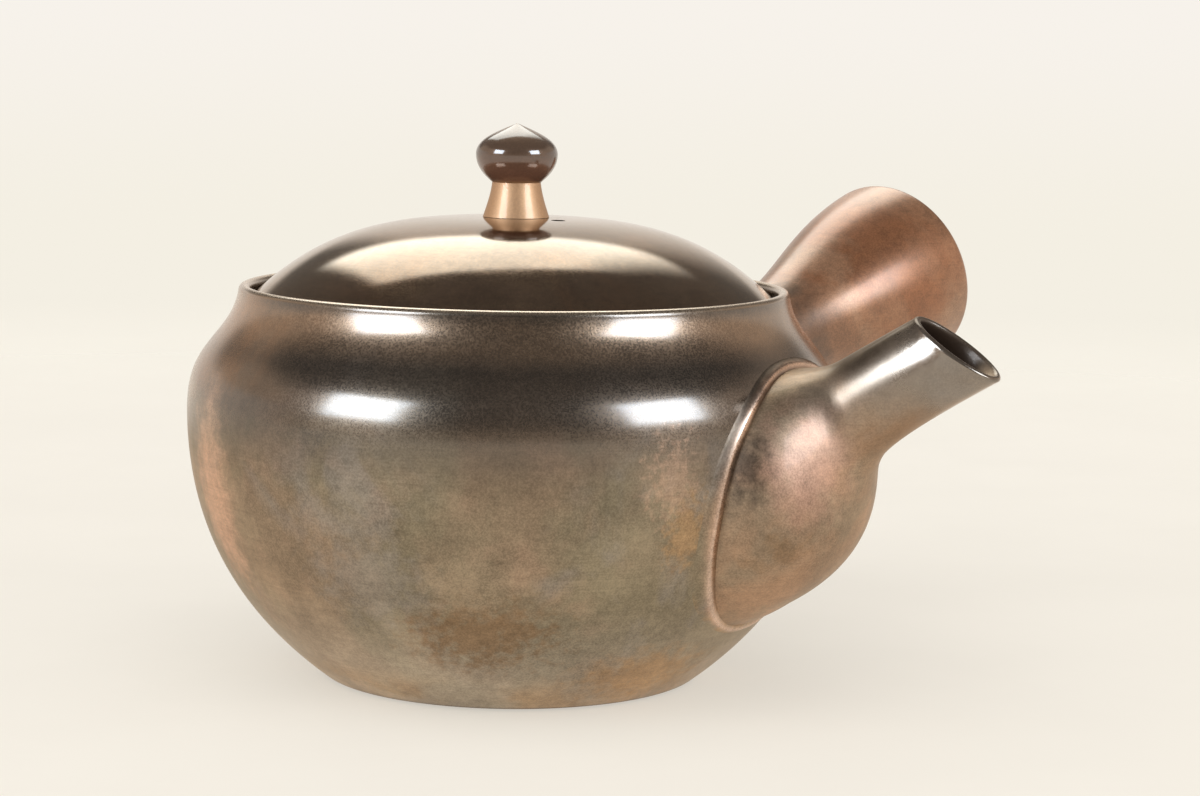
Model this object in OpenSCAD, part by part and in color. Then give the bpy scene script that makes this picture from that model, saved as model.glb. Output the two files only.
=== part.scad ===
// Side-handled teapot of lustre-glazed stoneware, in millimetres.
// The foot stands on z = 0 with its centre at the origin, and the spout points along +X.

/* [Body] */
// Diameter of the foot
foot_d = 64; // [54:1:76]
// Angle at which the wall leaves the foot
foot_flare = 37; // [25:1:50]
// Largest diameter, across the belly
belly_d = 110; // [98:1:124]
// Height of the widest point
belly_h = 45; // [38:1:54]
// How far the shoulder's turn lies inside the belly's radius
shoulder_in = 4; // [3:0.5:6]
// Height of the shoulder's turn above the widest point
shoulder_h = 11.4; // [9.5:0.1:14]
// How far the rim lies inside the shoulder's turn
collar_in = 4.5; // [3:0.5:7]
// Height of the collar, from the shoulder's turn to the rim
collar_h = 9.3; // [8:0.1:13]
// Thickness of the thrown wall
wall = 3; // [2.2:0.1:4]
// Thickness of the rim
rim_t = 2; // [1.4:0.1:2.6]
// Thickness of the floor
floor_t = 4; // [3:0.1:6]
// Width of the ring that the pot stands on
foot_ring = 6; // [4:0.5:9]
// Depth of the hollow turned under the floor
foot_recess = 1.2; // [0.6:0.1:2.5]

/* [Spout] */
// Reach of the lip's tip beyond the belly
spout_reach = 31.8; // [26:0.2:38]
// Drop of the lip's tip below the rim
lip_drop = 10.2; // [7:0.2:13]
// Length of the oblique mouth, from its back to its tip
mouth_l = 16.8; // [14:0.2:20]
// Slope of the mouth down to its tip
mouth_tilt = 33; // [25:1:40]
// Width of the mouth
mouth_w = 11; // [9:0.5:14]
// Rise from the crotch under the tube to the lip's tip
tube_rise = 15.8; // [13:0.2:19]
// How far the crotch stands out from the belly
bulb_out = 10.6; // [8:0.2:13]
// Height of the neck where the bulb turns into the tube
neck_h = 18; // [16:0.5:21]
// Lean of the neck back towards the pot
neck_lean = 20; // [14:1:26]
// Width of the neck
neck_w = 16.6; // [14:0.2:19]
// Width of the spout's foot, across the pot
spout_foot_w = 43.4; // [38:0.2:48]
// Height of the lower edge of the spout's foot
spout_foot_z = 11.8; // [9:0.2:14]
// Height of the spout's foot, up the pot
spout_foot_h = 43; // [38:0.5:46]
// Thickness of the spout's wall
spout_wall = 2.6; // [2:0.1:3.2]
// Thickness of the spout's lip
lip_t = 1.5; // [1.1:0.1:2]
// Width of the bead luted round the spout's foot, on the pot
coil_w = 2.2; // [1.5:0.1:3]
// Height of that bead, up the spout
coil_h = 1.6; // [1:0.1:2.4]

/* [Strainer] */
// Outer diameter of the half-ball sieve
strainer_d = 38; // [34:0.5:40]
// Thickness of the sieve
strainer_t = 2.4; // [1.8:0.1:3]
// Diameter of the sieve's holes
sieve_hole = 2; // [1.4:0.1:2.4]
// Angle between the rings of holes
sieve_step = 12; // [11:0.5:14]
// Rings of holes round the middle one
sieve_rings = 5; // [3:1:5]

/* [Handle] */
// Angle of the handle round from the spout, seen from above
handle_angle = 77; // [70:1:100]
// Rise of the handle's axis
handle_tilt = 15.6; // [8:0.2:22]
// Drop of its axis below the rim, where it meets the belly
handle_drop = 18.5; // [17:0.5:24]
// Length beyond the belly
handle_l = 56; // [46:1:70]
// Diameter at the pot
handle_root_d = 18.4; // [16:0.2:20]
// Diameter at the open end
handle_end_d = 36; // [28:0.5:42]
// Thickness of the handle's wall
handle_wall = 3; // [2.4:0.1:4]

/* [Lid] */
// Radial gap between the lid's edge and the rim
lid_gap = 0.9; // [0.4:0.1:1.5]
// Depth of the lid's edge below the rim's top
lid_sunk = 1.4; // [0.8:0.1:2.5]
// Thickness of the lid's edge
lid_edge = 2; // [1.5:0.1:3]
// Rise of the dome above its edge
lid_rise = 13; // [9:0.2:16]
// Fullness of the dome: higher is flatter on top
lid_full = 3.2; // [2.2:0.1:4]
// Thickness of the dome
lid_t = 3; // [2.4:0.1:4]
// Width of the ledge that the lid rests on
ledge_w = 5.5; // [4.5:0.5:8]
// Thickness of that ledge
ledge_t = 2.4; // [1.8:0.1:3.2]
// Depth of the lid's flange below the ledge's top
flange_h = 8; // [5:0.5:12]
// Thickness of the flange
flange_t = 2.6; // [2:0.1:3.2]
// Radial gap between the flange and the ledge
flange_gap = 0.5; // [0.3:0.1:1]
// Diameter of the steam vent
vent_d = 2.4; // [1.6:0.1:3.2]
// Distance of the vent from the lid's axis
vent_r = 9.6; // [9:0.2:20]
// Angle of the vent round from the spout
vent_angle = -13; // [-40:1:40]

/* [Knob] */
// Height of the knob above the dome
knob_h = 15.7; // [13:0.1:19]
// Diameter of the knob's head
knob_d = 13.8; // [12:0.2:17]
// Diameter of the stem where it stands on the lid
stem_foot_d = 11.2; // [10:0.2:13]
// Diameter of the stem under the head
stem_d = 8.2; // [6.5:0.1:9.5]
// Height of the stem
stem_h = 5.8; // [4.6:0.2:8]
// Height of the head's pointed cap, above its widest point
cap_h = 5.2; // [4:0.2:6.4]

/* [Joints] */
// Gap left by the slip where two fired pieces are luted together
slip = 0.05; // [0.02:0.01:0.1]
// Gap under the resting lid
seat_gap = 0.1; // [0.05:0.05:0.3]

/* [Hidden] */
$fn = 96;

function bez(p, t) =
    let (s = 1 - t)
    s * s * s * p[0] + 3 * s * s * t * p[1] + 3 * s * t * t * p[2] + t * t * t * p[3];
function way(a) = [cos(a), sin(a)];
function unit(v) = v / norm(v);
function steps(p, n, from = 0) = [for (i = [from:n]) bez(p, i / n)];
// A cubic curve between two points, with its end directions and its pulls as shares of the chord
function curve(a, dir_a, pull_a, b, dir_b, pull_b) =
    let (l = norm(b - a))
    [a, a + pull_a * l * way(dir_a), b - pull_b * l * way(dir_b), b];

// Outline of the pot, from the foot over the belly, shoulder and collar to the rim
foot_r = foot_d / 2;
belly_r = belly_d / 2;
shoulder_z = belly_h + shoulder_h;
shoulder_r = belly_r - shoulder_in;
rim_z = shoulder_z + collar_h;
rim_r = shoulder_r - collar_in;
shoulder_turn = 128;
rim_turn = 99;
foot_pt = [foot_r, 0];
belly_pt = [belly_r, belly_h];
shoulder_pt = [shoulder_r, shoulder_z];
rim_pt = [rim_r, rim_z - rim_t / 2];
outline = concat(
    steps(curve(foot_pt, foot_flare, 0.28, belly_pt, 90, 0.46), 24),
    steps(curve(belly_pt, 90, 0.51, shoulder_pt, shoulder_turn, 0.285), 12, 1),
    steps(curve(shoulder_pt, shoulder_turn, 0.35, rim_pt, rim_turn, 0.39), 10, 1));
last = len(outline) - 1;
// Outward normal of the outline at one of its points
function out_dir(i) =
    let (d = unit(outline[min(i + 1, last)] - outline[max(i - 1, 0)]))
    [d[1], -d[0]];
function shifted(by) = [for (i = [0:last]) outline[i] + by * out_dir(i)];
radius_table = [for (p = outline) [p[1], p[0]]];
function pot_r(z) = lookup(z, radius_table);

// Inside of the pot
floor_z = foot_recess + floor_t;
inside = shifted(-wall);
inside_table = [for (p = inside) [p[1], p[0]]];
ledge_z = rim_z - lid_sunk - lid_edge - seat_gap;
under_z = ledge_z - ledge_t;
seat_r = rim_r - rim_t;
mouth_r = seat_r - ledge_w;
inner_wall = [for (p = inside) if (p[1] > floor_z + 2 && p[1] < under_z - 1.5) p];
// Rounded top of the rim, from the outside to the inside
rim_top = [for (a = [30:30:180]) [rim_r - rim_t / 2, rim_z - rim_t / 2] + rim_t / 2 * way(a)];

// Lower and upper guide lines of the spout in the plane y = 0: first the bulb, then the tube
tip = [belly_r + spout_reach, rim_z - lip_drop];
mouth_back = tip + mouth_l * way(180 - mouth_tilt);
crotch = [belly_r + bulb_out, tip[1] - tube_rise];
neck_top = crotch + neck_h * way(90 + neck_lean);
spout_root = 12;
spout_foot_low = [belly_r - spout_root, spout_foot_z];
spout_foot_top = [belly_r - spout_root, spout_foot_z + spout_foot_h];
crotch_turn = 82;
low_bulb = curve(spout_foot_low, 22, 0.585, crotch, crotch_turn, 0.34);
low_tube = curve(crotch, crotch_turn, 0.14, tip, 31, 0.315);
top_bulb = curve(spout_foot_top, 2, 0.4, neck_top, 32, 0.185);
top_tube = curve(neck_top, 32, 0.21, mouth_back, 30, 0.21);
// Powers with which the bulb's width falls to the neck's, and the stretch of t over which sections are averaged
bulb_full = 3.2;
bulb_fall = 1.7;
bulb_square = 0.25;
blend = 0.18;

// t runs from 0 inside the pot's wall over 1 at the neck to 2 at the mouth
function spout_low(t) = t < 1 ? bez(low_bulb, t) : bez(low_tube, t - 1);
function spout_top(t) = t < 1 ? bez(top_bulb, t) : bez(top_tube, t - 1);
function spout_half_w(t) = t < 1
    ? neck_w / 2 + (spout_foot_w - neck_w) / 2 * pow(1 - pow(t, bulb_full), bulb_fall)
    : mouth_w / 2 + (neck_w - mouth_w) / 2 * pow(2 - t, 2) * (2 * t - 1);
function spout_skin(t) = spout_wall - (spout_wall - lip_t) * max(0, t - 1);
function bent(v, power) = sign(v) * pow(abs(v), power);
// A point of the raw section at t, at the angle a from its top, sunk below the outer face: an ellipse in the tube, squarer in the bulb
function spout_section(t, a, sunk) =
    let (top = spout_top(t), low = spout_low(t), mid = (top + low) / 2, half = (top - low) / 2)
    let (power = 2 / (2 + bulb_square * max(0, 1 - t)))
    let (in = half * (1 - sunk / norm(half)) * bent(cos(a), power))
    [mid[0] + in[0], (spout_half_w(t) - sunk) * bent(sin(a), power), mid[1] + in[1]];
// The spout's face: the mean of five sections near t, which melts the bulb into the tube
function spout_pt(t, a, sunk = 0) =
    let (h = min(blend, t, 2 - t))
    (spout_section(t - h, a, sunk) + spout_section(t - h / 2, a, sunk) + spout_section(t, a, sunk)
        + spout_section(t + h / 2, a, sunk) + spout_section(t + h, a, sunk)) / 5;
spout_outer = function (t, a) spout_pt(t, a);
spout_inner = function (t, a) spout_pt(t, a, spout_skin(t));

// Handle: its axis, and the profile as distance along the axis from the belly and radius
handle_z = rim_z - handle_drop;
handle_at = [belly_r * cos(handle_angle), belly_r * sin(handle_angle), handle_z];
handle_root = 14;
handle_curve = curve([0, handle_root_d / 2], -3, 0.48, [handle_l, handle_end_d / 2], 3, 0.37);
handle_outer = concat([[-handle_root, handle_root_d / 2]], steps(handle_curve, 24));
handle_top = len(handle_outer) - 1;
function handle_dir(i) =
    let (d = unit(handle_outer[min(i + 1, handle_top)] - handle_outer[max(i - 1, 0)]))
    [d[1], -d[0]];
handle_inner = [for (i = [handle_top:-1:0]) handle_outer[i] + handle_wall * handle_dir(i)];
handle_lip = [for (a = [60:-30:-60])
    [handle_l, (handle_end_d - handle_wall) / 2] + handle_wall / 2 * way(a)];
// A point of the handle's outer face, for the bead: t runs along the straight root
handle_skin = function (t, a)
    let (s = handle_root * (t - 1), r = lookup(s, handle_outer))
    let (u = s * cos(handle_tilt) - r * cos(a) * sin(handle_tilt), v = r * sin(a))
    handle_at + [
        u * cos(handle_angle) - v * sin(handle_angle),
        u * sin(handle_angle) + v * cos(handle_angle),
        s * sin(handle_tilt) + r * cos(a) * cos(handle_tilt)];

// Where a line of the surface f, at the angle a, leaves the pot: halves the range of t
function leaves(f, a, low, high, n = 26) =
    let (t = (low + high) / 2, p = f(t, a))
    n == 0 ? t
    : norm([p[0], p[1]]) < pot_r(p[2]) + slip ? leaves(f, a, t, high, n - 1)
    : leaves(f, a, low, t, n - 1);

// A point moved straight out from the pot's axis until it clears the pot
function clear_of_pot(p) =
    let (r = norm([p[0], p[1]]), k = max(1, (pot_r(p[2]) + slip) / r))
    [p[0] * k, p[1] * k, p[2]];

// Lid and knob
lid_r = seat_r - lid_gap;
lid_z = ledge_z + seat_gap;
edge_z = lid_z + lid_edge;
flange_r = mouth_r - flange_gap;
function dome_z(r) = edge_z + lid_rise * (1 - pow(r / lid_r, lid_full));
dome_in_r = flange_r - flange_t;
function dome_under(r) = dome_z(r) - lid_t;
knob_z = dome_z(0) + slip;
head_z = knob_z + stem_h;
tip_z = knob_z + knob_h;

// Faces of a closed grid of rows by columns that wraps both ways
function ring_faces(rows, cols) = [for (i = [0:rows - 1], j = [0:cols - 1])
    let (a = i * cols + j, b = i * cols + (j + 1) % cols)
    let (c = (i + 1) % rows * cols + (j + 1) % cols, d = (i + 1) % rows * cols + j)
    each [[a, b, c], [a, c, d]]];

// A solid of revolution bounded by the pot's outline, moved out by some gap
module pot_envelope(gap) {
    rotate_extrude() polygon(concat([[0, 0]], shifted(gap), [[0, rim_z]]));
}

// A bead in the corner between the pot and the surface f
module coil(f, low, high, count) {
    turn = 360 / count;
    rows = [for (k = [0:count - 1])
        let (a = k * turn, t = leaves(f, a, low, high), p = f(t, a))
        let (up = unit(f(t + 0.02, a) - p))
        let (q = f(leaves(f, a + 1, low, high), a + 1), o = f(leaves(f, a - 1, low, high), a - 1))
        let (slope = (pot_r(p[2] + 0.2) - pot_r(p[2] - 0.2)) / 0.4)
        let (face = unit([p[0] / norm([p[0], p[1]]), p[1] / norm([p[0], p[1]]), -slope]))
        let (out = unit(cross(face, q - o)), side = unit(cross(q - o, up)))
        let (away = side * out < 0 ? -1 : 1, corner = p + 2 * slip * away * side)
        [
            corner,
            for (b = [0:18:90])
                clear_of_pot(corner + coil_h * pow(cos(b), 0.7) * up + coil_w * pow(sin(b), 0.7) * out)
        ]];
    polyhedron([for (r = rows) each r], ring_faces(count, len(rows[0])));
}

module body() {
    color("#6b5a48")
    difference() {
        rotate_extrude() polygon(concat(
            [[0, foot_recess], [foot_r - foot_ring - foot_recess, foot_recess], [foot_r - foot_ring, 0]],
            outline,
            rim_top,
            [[seat_r, ledge_z], [mouth_r, ledge_z], [mouth_r, under_z]],
            [[lookup(under_z, inside_table) - 1, under_z]],
            [for (i = [len(inner_wall) - 1:-1:0]) inner_wall[i]],
            [[foot_r - wall, floor_z], [0, floor_z]]));
        translate([0, 0, strainer_z])
            rotate([0, 90, 0])
                cylinder(h = belly_r + spout_reach, r = pierced_r);
    }
}

module spout() {
    sides = 48;
    outer_rows = 20;
    inner_rows = 14;
    // Outward normal of the mouth's plane
    face = [sin(mouth_tilt), 0, cos(mouth_tilt)];
    foot_out = [for (k = [0:sides - 1]) leaves(spout_outer, k * 360 / sides, 0, 1)];
    foot_in = [for (k = [0:sides - 1]) leaves(spout_inner, k * 360 / sides, 0, 1)];
    rows = [
        for (i = [0:outer_rows])
            [for (k = [0:sides - 1])
                spout_outer(foot_out[k] + (2 - foot_out[k]) * i / outer_rows, k * 360 / sides)],
        [for (k = [0:sides - 1]) spout_pt(2, k * 360 / sides, lip_t / 2) + lip_t / 3 * face],
        for (i = [inner_rows:-1:0])
            [for (k = [0:sides - 1])
                spout_inner(foot_in[k] + (2 - foot_in[k]) * i / inner_rows, k * 360 / sides)],
        for (share = [0.75, 0.5, 0.25])
            let (within = function (t, a) spout_pt(t, a, share * spout_skin(t)))
            [for (k = [0:sides - 1])
                let (a = k * 360 / sides)
                within(leaves(within, a, 0, 1), a)]
    ];
    color("#8a7462")
        polyhedron([for (r = rows) each r], ring_faces(len(rows), sides));
}

module spout_coil() {
    color("#a07a62") coil(spout_outer, 0, 1, 64);
}

// The sieve's ball is centred on the pot's inner face, behind the middle of the spout's foot
strainer_r = strainer_d / 2;
strainer_z = spout_foot_z + spout_foot_h / 2;
strainer_x = lookup(strainer_z, inside_table);
pierced_r = strainer_r - strainer_t - 1;

module strainer() {
    color("#9a8b78")
    difference() {
        intersection() {
            translate([strainer_x, 0, strainer_z]) sphere(r = strainer_r);
            rotate_extrude() polygon(concat(
                [[0, floor_z]],
                [for (p = shifted(-wall - slip)) if (p[1] > floor_z && p[1] < under_z) p],
                [[0, under_z]]));
        }
        translate([strainer_x, 0, strainer_z]) {
            sphere(r = strainer_r - strainer_t);
            for (i = [0:sieve_rings], j = [0:max(1, 6 * i) - 1])
                rotate([j * 360 / max(1, 6 * i), 0, 0])
                    rotate([0, -90 + i * sieve_step, 0])
                        translate([0, 0, strainer_r - 2 * strainer_t])
                            cylinder(h = 3 * strainer_t, d = sieve_hole, $fn = 24);
        }
    }
}

module handle() {
    color("#7c5238")
    difference() {
        translate(handle_at)
            rotate([0, 90 - handle_tilt, handle_angle])
                rotate_extrude() polygon([for (p = concat(handle_outer, handle_lip, handle_inner)) [p[1], p[0]]]);
        pot_envelope(slip);
    }
}

module handle_coil() {
    color("#8d6248") coil(handle_skin, 0, 1.2, 48);
}

module lid() {
    color("#4a4038")
    difference() {
        rotate_extrude() polygon(concat(
            [for (i = [0:12]) let (r = dome_in_r * i / 12) [r, dome_under(r)]],
            [[dome_in_r, ledge_z - flange_h], [flange_r, ledge_z - flange_h], [flange_r, lid_z], [lid_r, lid_z]],
            [for (i = [24:-1:0]) let (r = lid_r * i / 24) [r, dome_z(r)]]));
        rotate([0, 0, vent_angle])
            translate([vent_r, 0, edge_z])
                cylinder(h = 2 * lid_rise, d = vent_d, $fn = 32);
    }
}

module knob() {
    stem_foot = [stem_foot_d / 2, dome_z(stem_foot_d / 2) + slip];
    stem_top = [stem_d / 2, head_z];
    widest = [knob_d / 2, tip_z - cap_h];
    color("#5a4030")
    rotate_extrude() polygon(concat(
        [for (i = [0:4]) let (r = stem_foot_d / 2 * i / 4) [r, dome_z(r) + slip]],
        steps(curve(stem_foot, 108, 0.35, stem_top, 96, 0.35), 10, 1),
        steps(curve(stem_top, 38, 0.3, widest, 90, 0.4), 10, 1),
        steps(curve(widest, 90, 0.3, [0, tip_z], 157, 0.4), 14, 1)));
}

body();
spout();
spout_coil();
strainer();
handle();
handle_coil();
lid();
knob();
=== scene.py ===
import bpy
import numpy as np
from mathutils import Matrix


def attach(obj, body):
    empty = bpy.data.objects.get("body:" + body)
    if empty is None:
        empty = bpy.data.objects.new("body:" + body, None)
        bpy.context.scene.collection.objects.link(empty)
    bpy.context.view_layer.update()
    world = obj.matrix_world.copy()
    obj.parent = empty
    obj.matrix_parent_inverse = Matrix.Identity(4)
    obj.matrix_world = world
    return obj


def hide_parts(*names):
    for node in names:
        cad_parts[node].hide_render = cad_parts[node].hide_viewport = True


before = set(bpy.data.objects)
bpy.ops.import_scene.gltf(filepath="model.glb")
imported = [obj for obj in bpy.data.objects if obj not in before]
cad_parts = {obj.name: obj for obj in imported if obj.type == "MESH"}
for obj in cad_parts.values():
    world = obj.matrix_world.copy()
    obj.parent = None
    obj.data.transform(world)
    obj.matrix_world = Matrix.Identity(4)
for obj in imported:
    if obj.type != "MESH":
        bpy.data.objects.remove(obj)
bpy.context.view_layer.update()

# The pot: a thrown stoneware wall with a narrow foot, a full belly and a hollow collar.
# A ledge under the thin rim carries the lid, and the wall is pierced behind the spout.
# It is dipped in a dark bronze lustre glaze, which breaks to copper, olive and rust.
MM = 0.001
TURNS = 224
CREASE = 42
foot_r, foot_ring, foot_recess, foot_flare = 32.0, 6.0, 1.2, 37.0
belly_r, belly_h = 55.0, 45.0
shoulder, shoulder_turn, rim_turn = np.array([51.0, 56.4]), 128.0, 99.0
rim_r, rim_z, rim_t = 46.5, 65.7, 2.0
wall, floor_z = 3.0, 5.2
seat_r, mouth_r, ledge_z, ledge_under = 44.5, 39.0, 62.2, 59.8
foot_ease, ledge_ease, floor_ease = 0.5, 0.4, 1.2
pierced_r, pierced_z, pierced_from, pierced_to = 15.6, 33.3, 30.0, 62.0
slip = 0.05


def way(degrees):
    """The unit vector at an angle: its cosine and its sine."""
    return np.array([np.cos(np.radians(degrees)), np.sin(np.radians(degrees))])


def unit(v):
    """Vectors along the last axis, each divided by its length."""
    return v / np.linalg.norm(v, axis=-1, keepdims=True)


def circle(count):
    """Angles that divide a full turn into a number of equal steps."""
    return np.arange(count) * 2 * np.pi / count


def drawn(a, dir_a, pull_a, b, dir_b, pull_b):
    """Four control points of a cubic curve: each end, and a handle from it along its direction,
    as long as its pull times the chord."""
    a, b = np.array(a, float), np.array(b, float)
    chord = np.linalg.norm(b - a)
    return np.array([a, a + pull_a * chord * way(dir_a), b - pull_b * chord * way(dir_b), b])


def along(control, t):
    """Points of a cubic curve: the control points weighted with (1-t)^3, 3(1-t)^2 t, 3(1-t)t^2 and t^3."""
    t = np.asarray(t, float)[..., None]
    s = 1 - t
    return s**3 * control[0] + 3 * s * s * t * control[1] + 3 * s * t * t * control[2] + t**3 * control[3]


def stroke(count, *ends):
    """A number of points along the cubic curve that is drawn between two ends."""
    return along(drawn(*ends), np.linspace(0, 1, count))


def right_of(curve):
    """Unit normals of a plane curve, to the right of its run: its slope (u, v) turned to (v, -u)."""
    slope = np.gradient(curve, axis=0)
    return unit(np.stack([slope[:, 1], -slope[:, 0]], 1))


def eased(corners, radius, steps=5):
    """A polyline whose inner corners are rounded: each becomes a parabola between the two points
    that lie one radius, or half a side if that is less, before and after it."""
    p = np.array(corners, float)
    before, mid, after = p[:-2, None], p[1:-1, None], p[2:, None]

    def towards(q):
        """The point one radius, or half a side, from each corner towards its neighbour."""
        side = np.linalg.norm(q - mid, axis=-1, keepdims=True)
        return mid + (q - mid) / side * np.minimum(radius, side / 2)

    t = np.linspace(0, 1, steps)[None, :, None]
    arcs = (1 - t) ** 2 * towards(before) + 2 * t * (1 - t) * mid + t**2 * towards(after)
    return np.concatenate([p[:1], arcs.reshape(-1, 2), p[-1:]])


def smoothed(mesh):
    """Shades a mesh smooth, except at edges that are sharper than the crease."""
    mesh.shade_smooth()
    mesh.set_sharp_from_angle(angle=np.radians(CREASE))


def fired(name, points, faces):
    """An object from points in mm and faces: turned to face outwards if its signed volume, a sixth of
    the sum of the triple products of its triangles, is negative, and smooth except at creases."""
    fans = [np.stack([f[:, 0], f[:, k], f[:, k + 1]], 1) for f in faces for k in range(1, f.shape[1] - 1)]
    a, b, c = (points[corner] for corner in np.concatenate(fans).T)
    inside_out = np.einsum("ij,ij->i", a, np.cross(b, c)).sum() < 0
    loops = [(f[:, ::-1] if inside_out else f).tolist() for f in faces]
    mesh = bpy.data.meshes.new(name)
    mesh.from_pydata((points * MM).tolist(), [], [q for part in loops for q in part])
    smoothed(mesh)
    piece = bpy.data.objects.new(name, mesh)
    bpy.context.scene.collection.objects.link(piece)
    return piece


def wrapped(rows, columns, closed):
    """Quads of a grid whose columns wrap round, and whose last row joins its first if it is closed."""
    i, j = np.meshgrid(np.arange(rows if closed else rows - 1), np.arange(columns), indexing="ij")
    k, n = (j + 1) % columns, (i + 1) % rows
    return np.stack([i * columns + j, i * columns + k, n * columns + k, n * columns + j], -1).reshape(-1, 4)


def turned(name, profile, turns=TURNS):
    """A solid of revolution: the profile (r, z), which starts and ends on the axis, swept round Z
    as (r cos a, r sin a, z), with a fan of triangles at each pole."""
    a = circle(turns)
    ring = profile[1:-1]
    r, z = ring[:, :1], np.repeat(ring[:, 1:], turns, 1)
    grid = np.stack([r * np.cos(a), r * np.sin(a), z], -1).reshape(-1, 3)
    poles = np.array([[0, 0, profile[0, 1]], [0, 0, profile[-1, 1]]])
    count = len(grid)
    j, k = np.arange(turns), np.roll(np.arange(turns), -1)
    first = np.stack([np.full(turns, count), k, j], 1)
    last = np.stack([np.full(turns, count + 1), count - turns + j, count - turns + k], 1)
    return fired(name, np.concatenate([grid, poles]), [wrapped(len(ring), turns, False), first, last])


def bored(piece, start, end, radius, sides=64):
    """Cuts a round hole from start to end, in mm, out of a piece and applies the cut."""
    start, end = np.array(start, float), np.array(end, float)
    axis = unit(end - start)
    across = unit(np.cross(axis, [0.0, 1.0, 0.0]))
    a = circle(sides)[:, None]
    ring = radius * (np.cos(a) * across + np.sin(a) * np.cross(axis, across))
    points = np.concatenate([start + ring, end + ring])
    ends = [np.arange(sides)[None, ::-1], np.arange(sides, 2 * sides)[None]]
    cutter = fired(piece.name + "_drill", points, [wrapped(2, sides, False), *ends])
    cut = piece.modifiers.new("hole", "BOOLEAN")
    cut.operation, cut.object, cut.solver = "DIFFERENCE", cutter, "EXACT"
    whole, drill_mesh = piece.data, cutter.data
    shaped = piece.evaluated_get(bpy.context.evaluated_depsgraph_get())
    piece.data = bpy.data.meshes.new_from_object(shaped)
    piece.modifiers.remove(cut)
    bpy.data.objects.remove(cutter)
    bpy.data.meshes.remove(drill_mesh)
    bpy.data.meshes.remove(whole)
    smoothed(piece.data)


outline = np.concatenate([
    stroke(81, (foot_r, 0), foot_flare, 0.28, (belly_r, belly_h), 90, 0.46),
    stroke(33, (belly_r, belly_h), 90, 0.51, shoulder, shoulder_turn, 0.285)[1:],
    stroke(29, shoulder, shoulder_turn, 0.35, (rim_r, rim_z - rim_t / 2), rim_turn, 0.39)[1:],
])
inner = outline - wall * right_of(outline)
above_floor, below_ledge = inner[:, 1] > floor_z + 2, inner[:, 1] < ledge_under - 1.5
inner_wall = inner[above_floor & below_ledge][::-1]


def pot_radius(z):
    """Radius of the pot's outer face at a height, read between the outline's points."""
    return np.interp(z, outline[:, 1], outline[:, 0])


rim_round = np.radians(np.linspace(rim_turn - 90, 180, 14))[:, None]
rim_middle = np.array([rim_r - rim_t / 2, rim_z - rim_t / 2])
foot_rows = 5
pot_profile = np.concatenate([
    eased([(0, foot_recess), (foot_r - foot_ring - foot_recess, foot_recess), (foot_r - foot_ring, 0),
           (foot_r, 0), outline[foot_rows]], foot_ease),
    outline[foot_rows + 1:],
    rim_middle + rim_t / 2 * np.hstack([np.cos(rim_round), np.sin(rim_round)]),
    eased([(seat_r, rim_middle[1] - 0.3), (seat_r, ledge_z), (mouth_r, ledge_z), (mouth_r, ledge_under),
           (inner_wall[0, 0] - 1, ledge_under), inner_wall[0]], ledge_ease),
    inner_wall[1:],
    eased([inner_wall[-1] - (0.8, 0.9), (foot_r - wall, floor_z), (0, floor_z)], floor_ease),
])
pot = turned("thrown_pot", pot_profile)
bored(pot, (pierced_from, 0, pierced_z), (pierced_to, 0, pierced_z), pierced_r)


def tone(red, green, blue):
    """A colour as it looks, 0 to 255 each, as the shader's linear light."""
    c = np.array([red, green, blue]) / 255
    return (*np.where(c < 0.04045, c / 12.92, ((c + 0.055) / 1.055) ** 2.4).tolist(), 1.0)


class Wire:
    """One socket of a node tree; sums, products and powers of wires add their Math nodes."""

    def __init__(self, tree, socket):
        self.tree, self.socket = tree, socket

    def node(self, kind, sockets, out=0, **settings):
        """Adds a node: its settings first, then the values or links of its sockets; gives one output."""
        made = self.tree.nodes.new("ShaderNode" + kind)
        for key, value in settings.items():
            setattr(made, key, value)
        for key, value in sockets.items():
            if isinstance(value, Wire):
                self.tree.links.new(value.socket, made.inputs[key])
            else:
                made.inputs[key].default_value = value
        return Wire(self.tree, made.outputs[out])

    def maths(self, operation, a, b):
        """One Math node on two wires or numbers."""
        return self.node("Math", {0: a, 1: b}, operation=operation)

    def __add__(self, other):
        return self.maths("ADD", self, other)

    def __sub__(self, other):
        return self.maths("SUBTRACT", self, other)

    def __rsub__(self, other):
        return self.maths("SUBTRACT", other, self)

    def __mul__(self, other):
        return self.maths("MULTIPLY", self, other)

    def __truediv__(self, other):
        return self.maths("DIVIDE", self, other)

    def __pow__(self, other):
        return self.maths("POWER", self, other)

    __radd__, __rmul__ = __add__, __mul__

    def at_least(self, other):
        """The greater of this wire and another, or a number."""
        return self.maths("MAXIMUM", self, other)

    def rise(self, low, high, start=0.0, end=1.0):
        """A smooth step from start, below low, to end, above high."""
        sockets = {0: self, 1: low, 2: high, 3: start, 4: end}
        return self.node("MapRange", sockets, interpolation_type="SMOOTHSTEP")

    def mix(self, a, b):
        """The colour that goes from a, where this wire is 0, to b, where it is 1."""
        return self.node("Mix", {0: self, 6: a, 7: b}, out=2, data_type="RGBA")

    def scaled(self, by):
        """This colour or vector times a number."""
        return self.node("VectorMath", {0: self, 3: by}, operation="SCALE")

    def into(self, shader, name):
        """Links this wire to an input of a shader."""
        self.tree.links.new(self.socket, shader.inputs[name])


def new_glaze(name, **constants):
    """A node material: gives it, its shader with these constants set, and a wire of Object coordinates."""
    made = bpy.data.materials.new(name)
    made.use_nodes = True
    tree = made.node_tree
    shader = tree.nodes["Principled BSDF"]
    for key, value in constants.items():
        shader.inputs[key.replace("_", " ")].default_value = value
    return made, shader, Wire(tree, tree.nodes.new("ShaderNodeTexCoord").outputs["Object"])


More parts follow.
